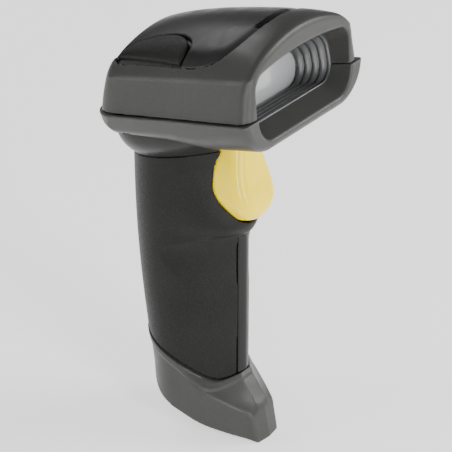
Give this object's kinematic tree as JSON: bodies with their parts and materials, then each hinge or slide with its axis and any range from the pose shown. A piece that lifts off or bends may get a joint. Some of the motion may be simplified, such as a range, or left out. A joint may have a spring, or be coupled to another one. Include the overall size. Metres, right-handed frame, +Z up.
{
  "type": "handheld barcode scanner",
  "caption": "Pistol-grip handheld barcode scanner: hooded head with a ribbed scanning window, squeeze trigger under the head, tapering handle and a sloping foot with charging contacts.",
  "frame": {"origin": "bottom centre of the object's box, on the mirror plane", "axes": "+Z up along the handle, -Y is the scanning direction, +X is sideways; mirror-symmetric about X = 0"},
  "size_m": [0.0686, 0.0719, 0.1686],
  "materials": {
    "grey_shell": "moulded ABS with a fine satin grain",
    "black_satin": "smooth satin black moulding",
    "black_grain": "black moulding with fine spark-eroded grain",
    "ribbed_black": "dull black stepped funnel against stray light",
    "window_clear": "clear hard-coated acrylic",
    "black_rubber": "soft foam gasket",
    "trigger_yellow": "polished through-coloured moulding",
    "steel": "plain stamped or ground steel",
    "spring_steel": "drawn music wire",
    "switch_black": "moulded switch case",
    "plunger_white": "acetal",
    "circuit_green": "solder mask over glass-fibre board",
    "light_bar_smoke": "smoked light guide",
    "lamp_clear": "clear lamp body",
    "engine_black": "anodised black optics block",
    "lens_glass": "coated lens",
    "brass": "turned brass sleeve",
    "ribbon_amber": "polyimide flexible circuit",
    "chip_black": "moulded package",
    "shield_metal": "tinned shield can",
    "screw_steel": "zinc-plated screw",
    "cell_wrap": "shrink sleeve over a lithium cell",
    "inner_black": "inner moulding",
    "lead_red": "silicone-sleeved wire",
    "contact_gold": "gold-plated contact"
  },
  "bodies": {
    "housing": {"aiming_lamp": "brass", "battery_bottom_contact": "contact_gold", "battery_cell": "cell_wrap", "battery_cradle": "inner_black", "battery_leads": "lead_red", "battery_top_contact": "contact_gold", "beeper": "chip_black", "board_screws": "screw_steel", "camera_body": "engine_black", "camera_lens": "lens_glass", "charging_contacts": "contact_gold", "contact_board": "circuit_green", "engine_board": "circuit_green", "engine_bracket": "steel", "engine_ribbon": "ribbon_amber", "foot_cap": "grey_shell", "foot_screws": "screw_steel", "handle_front_strip": "black_satin", "handle_shell": "black_grain", "head_screws": "screw_steel", "illumination_leds": "lamp_clear", "lens_barrel": "engine_black", "lower_housing": "grey_shell", "main_board": "circuit_green", "neck_collar": "black_satin", "processor_chip": "chip_black", "radio_module": "shield_metal", "scan_bezel": "ribbed_black", "scan_window": "window_clear", "side_pad_left": "black_grain", "side_pad_right": "black_grain", "status_lamps": "lamp_clear", "status_led_board": "circuit_green", "status_light_bar": "light_bar_smoke", "switch_board": "circuit_green", "top_cover": "black_satin", "trigger_pivot_pin": "steel", "trigger_spring": "spring_steel", "trigger_switch": "switch_black", "upper_housing": "grey_shell", "window_gasket": "black_rubber"},
    "trigger": {"trigger": "trigger_yellow"},
    "plunger": {"switch_plunger": "plunger_white"}
  },
  "joints": [
    {"name": "trigger_pivot", "type": "hinge", "parent": "housing", "child": "trigger", "pos_m": [0, -0.0125, 0.1313], "axis": [1, 0, 0], "range_deg": [0, 3], "stiffness_Nm_per_rad": 0.8, "springref_deg": -5.73, "deforming": ["trigger_spring"]},
    {"name": "plunger_slide", "type": "slide", "parent": "housing", "child": "plunger", "axis": [0, 1, 0], "range_m": [0, 0.0014]}
  ],
  "couplings": [
    {"joint": "plunger_slide", "follows": "trigger_pivot", "m_per_rad": 0.0263}
  ]
}
